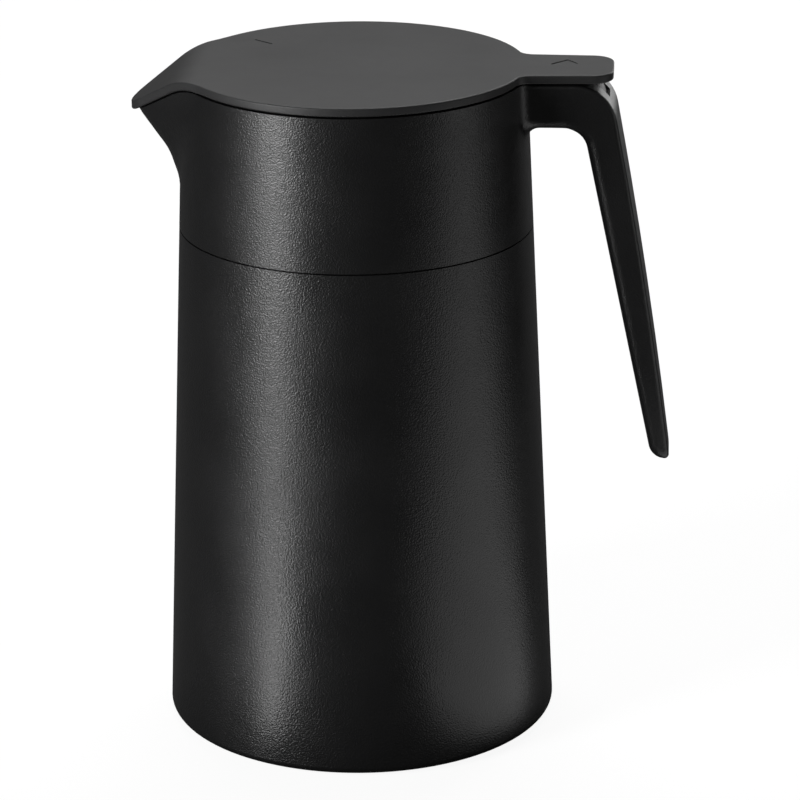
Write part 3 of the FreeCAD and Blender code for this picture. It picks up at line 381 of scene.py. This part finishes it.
@dataclass
class Lid(Dressing):
    """The flip lid with its insulated plug."""

    body: str = "lid"

    def dress(self) -> None:
        """Finish the lid's pieces."""
        self.smooth_copy("lid_plate", LID_SATIN.build())
        plastic = INNER_PLASTIC.build()
        for node in ("plug_housing", "plug_cap"):
            self.smooth_copy(node, plastic)
        self.smooth_copy("plug_seal", SEAL_RUBBER.build())
        self.finish_node("plug_insulation", FOAM_BLOCK.build())
        self.smooth_copy("lid_screws", PIN_STEEL.build())


# ------------------------------------------------------------------------------------------------
# Studio
# ------------------------------------------------------------------------------------------------

@dataclass
class Softbox:
    """A rectangular lamp that points at a place on the object.

    Attributes:
        name: the lamp's name.
        turn: direction from the object in degrees, 0 towards +X and 90 towards +Y.
        rise: height above the target in degrees.
        distance: distance from the target in metres.
        size: width and height in metres.
        power: power in watts.
        target: the place that it points at.
    """

    name: str
    turn: float
    rise: float
    distance: float
    size: tuple[float, float]
    power: float
    target: tuple[float, float, float] = (0.0, 0.0, 0.12)

    def build(self) -> bpy.types.Object:
        """Make the lamp.

        Returns:
            The lamp's object.
        """
        lamp = bpy.data.lights.new(self.name, "AREA")
        lamp.shape = "RECTANGLE"
        lamp.size, lamp.size_y = self.size
        lamp.energy = self.power
        turn = math.radians(self.turn)
        rise = math.radians(self.rise)
        away = Vector((math.cos(turn) * math.cos(rise), math.sin(turn) * math.cos(rise),
                       math.sin(rise)))
        placed = bpy.data.objects.new(self.name, lamp)
        placed.location = Vector(self.target) + away * self.distance
        placed.rotation_euler = (-away).to_track_quat("-Z", "Y").to_euler()
        bpy.context.scene.collection.objects.link(placed)
        log.info("lamp %s", self.name)
        return placed


@dataclass
class FloorStrip:
    """An oval lamp that lies on the floor, shines upwards and points away from the object.

    Attributes:
        name: the lamp's name.
        turn: direction it runs in, in degrees, 0 towards +X and 90 towards +Y.
        foot: place on the floor below the part of the wall that it lights, as X and Y.
        start: distance of the near end from that place in metres.
        size: length and width in metres.
        power: power in watts.
        lift: height of the lamp above the floor in metres.
    """

    name: str
    turn: float
    foot: tuple[float, float]
    start: float
    size: tuple[float, float]
    power: float
    lift: float = 2 * MM

    def build(self) -> bpy.types.Object:
        """Make the lamp.

        Returns:
            The lamp's object.
        """
        lamp = bpy.data.lights.new(self.name, "AREA")
        lamp.shape = "ELLIPSE"
        lamp.size, lamp.size_y = self.size
        lamp.energy = self.power
        turn = math.radians(self.turn)
        reach = self.start + self.size[0] / 2
        placed = bpy.data.objects.new(self.name, lamp)
        placed.location = (self.foot[0] + reach * math.cos(turn),
                           self.foot[1] + reach * math.sin(turn), self.lift)
        placed.rotation_euler = (math.pi, 0.0, turn)
        placed.visible_camera = False
        bpy.context.scene.collection.objects.link(placed)
        log.info("floor strip %s", self.name)
        return placed


@dataclass
class Studio:
    """Pale floor, soft lamps, and the world that fills the shadows.

    Attributes:
        floor_size: side of the floor in metres.
        floor_colour: the floor's colour in the light that it throws back on the object.
        floor_seen: the floor's colour in the shadow that the camera sees on it.
        floor_white: share of plain white that the camera sees on the floor.
        floor_glow: strength of that white.
        fill: strength of the world's light.
        backdrop: strength of the world in a first reflection.
        lamps: the softboxes.
        strips: the lamps on the floor.
    """

    floor_size: float = 8.0
    floor_colour: float = 0.08
    floor_seen: float = 0.9
    floor_white: float = 0.86
    floor_glow: float = 1.07
    fill: float = 0.006
    backdrop: float = 0.1
    lamps: list[Softbox] = field(default_factory=lambda: [
        Softbox("key", -139.0, 3.0, 1.3, (0.38, 1.6), 30.0, (0.0, 0.0, 0.09)),
        Softbox("side", -12.0, 0.0, 1.6, (0.9, 1.2), 2.3, (0.0, 0.0, 0.05)),
        Softbox("rim", 60.0, 16.0, 1.6, (0.5, 1.0), 5.0),
        Softbox("top", 88.0, 55.0, 1.5, (1.4, 0.9), 15.0, (0.0, 0.0, 0.2)),
    ])
    strips: list[FloorStrip] = field(default_factory=lambda: [
        FloorStrip("low_key", -139.0, (-0.024, -0.057), 0.035, (1.0, 0.06), 0.9),
        FloorStrip("low_side", -12.0, (0.040, -0.047), 0.02, (1.0, 0.35), 0.6),
    ])

    def build(self) -> None:
        """Make the floor, the lamps and the world."""
        self._floor()
        self._world()
        for lamp in (*self.lamps, *self.strips):
            lamp.build()

    def _floor(self) -> None:
        """Make the floor, which the camera sees as nearly plain white with a soft shadow."""
        work = bmesh.new()
        bmesh.ops.create_grid(work, x_segments=1, y_segments=1, size=self.floor_size / 2)
        mesh = bpy.data.meshes.new("floor")
        work.to_mesh(mesh)
        work.free()
        floor = bpy.data.objects.new("floor", mesh)
        bpy.context.scene.collection.objects.link(floor)
        material = bpy.data.materials.new("floor_paper")
        material.use_nodes = True
        tree = material.node_tree
        tree.nodes.clear()
        output = tree.nodes.new("ShaderNodeOutputMaterial")
        paper = tree.nodes.new("ShaderNodeBsdfDiffuse")
        white = tree.nodes.new("ShaderNodeEmission")
        white.inputs["Strength"].default_value = self.floor_glow
        mix = tree.nodes.new("ShaderNodeMixShader")
        rays = tree.nodes.new("ShaderNodeLightPath")
        share = tree.nodes.new("ShaderNodeMath")
        share.operation = "MULTIPLY"
        share.inputs[1].default_value = self.floor_white
        tone = tree.nodes.new("ShaderNodeMix")
        tone.data_type = "RGBA"
        tone.inputs["A"].default_value = (*[self.floor_colour] * 3, 1.0)
        tone.inputs["B"].default_value = (*[self.floor_seen] * 3, 1.0)
        tree.links.new(rays.outputs["Is Camera Ray"], tone.inputs["Factor"])
        tree.links.new(tone.outputs["Result"], paper.inputs["Color"])
        tree.links.new(rays.outputs["Is Camera Ray"], share.inputs[0])
        tree.links.new(share.outputs["Value"], mix.inputs["Fac"])
        tree.links.new(paper.outputs["BSDF"], mix.inputs[1])
        tree.links.new(white.outputs["Emission"], mix.inputs[2])
        tree.links.new(mix.outputs["Shader"], output.inputs["Surface"])
        mesh.materials.append(material)
        log.info("floor %.1f m", self.floor_size)

    def _world(self) -> None:
        """Make the world: white to the camera, grey in gloss, and a dim fill elsewhere.

        A first reflection shows the backdrop's strength, and a second one, as inside the steel
        liner, shows white.
        """
        world = bpy.data.worlds.new("studio")
        bpy.context.scene.world = world
        world.use_nodes = True
        tree = world.node_tree
        tree.nodes.clear()
        output = tree.nodes.new("ShaderNodeOutputWorld")
        fill = tree.nodes.new("ShaderNodeBackground")
        white = tree.nodes.new("ShaderNodeBackground")
        mix = tree.nodes.new("ShaderNodeMixShader")
        rays = tree.nodes.new("ShaderNodeLightPath")
        share = tree.nodes.new("ShaderNodeMapRange")
        share.inputs["From Max"].default_value = 2.0
        bend = tree.nodes.new("ShaderNodeMath")
        bend.operation = "POWER"
        bend.inputs[1].default_value = -math.log2(self.backdrop)
        level = tree.nodes.new("ShaderNodeMath")
        level.operation = "MAXIMUM"
        level.inputs[1].default_value = self.fill
        tree.links.new(rays.outputs["Glossy Depth"], share.inputs["Value"])
        tree.links.new(share.outputs["Result"], bend.inputs[0])
        tree.links.new(bend.outputs["Value"], level.inputs[0])
        tree.links.new(level.outputs["Value"], fill.inputs["Strength"])
        fill.inputs["Color"].default_value = (1.0, 1.0, 1.0, 1.0)
        white.inputs["Color"].default_value = (1.0, 1.0, 1.0, 1.0)
        tree.links.new(rays.outputs["Is Camera Ray"], mix.inputs["Fac"])
        tree.links.new(fill.outputs["Background"], mix.inputs[1])
        tree.links.new(white.outputs["Background"], mix.inputs[2])
        tree.links.new(mix.outputs["Shader"], output.inputs["Surface"])


@dataclass
class Camera:
    """The camera at its fitted place.

    Attributes:
        place: position in metres.
        gaze: direction it looks in.
        roll: turn about the gaze, in degrees.
        lens: focal length for the sensor's width, in millimetres.
        sensor: sensor width in millimetres.
        reach: farthest distance that it sees, in metres.
    """

    place: tuple[float, float, float] = (0.0966, -1.1500, 0.523)
    gaze: tuple[float, float, float] = (-0.0677, 0.9381, -0.3396)
    roll: float = -0.489
    lens: float = 168.0
    sensor: float = 36.0
    reach: float = 20.0

    def build(self) -> None:
        """Make the camera and hand it to the scene."""
        gaze = Vector(self.gaze).normalized()
        level = gaze.cross(Vector((0.0, 0.0, 1.0))).normalized()
        upright = level.cross(gaze)
        roll = math.radians(self.roll)
        across = math.cos(roll) * level + math.sin(roll) * upright
        up = -math.sin(roll) * level + math.cos(roll) * upright
        data = bpy.data.cameras.new("camera")
        data.lens = self.lens
        data.sensor_width = self.sensor
        data.clip_end = self.reach
        holder = bpy.data.objects.new("camera", data)
        turn = Matrix((across, up, -gaze)).transposed().to_4x4()
        holder.matrix_world = Matrix.Translation(Vector(self.place)) @ turn
        bpy.context.scene.collection.objects.link(holder)
        bpy.context.scene.camera = holder
        log.info("camera at %s", tuple(self.place))


# ------------------------------------------------------------------------------------------------

def main() -> None:
    """Dress the frame, build the studio and the camera."""
    logging.basicConfig(level=logging.INFO, format="%(name)s: %(message)s")
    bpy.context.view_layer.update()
    for assembly in (Flask(), Casing(), Lid()):
        assembly.dress()
    Studio().build()
    Camera().build()
    bpy.context.scene.view_settings.view_transform = "Standard"


if __name__ == "__main__":
    main()
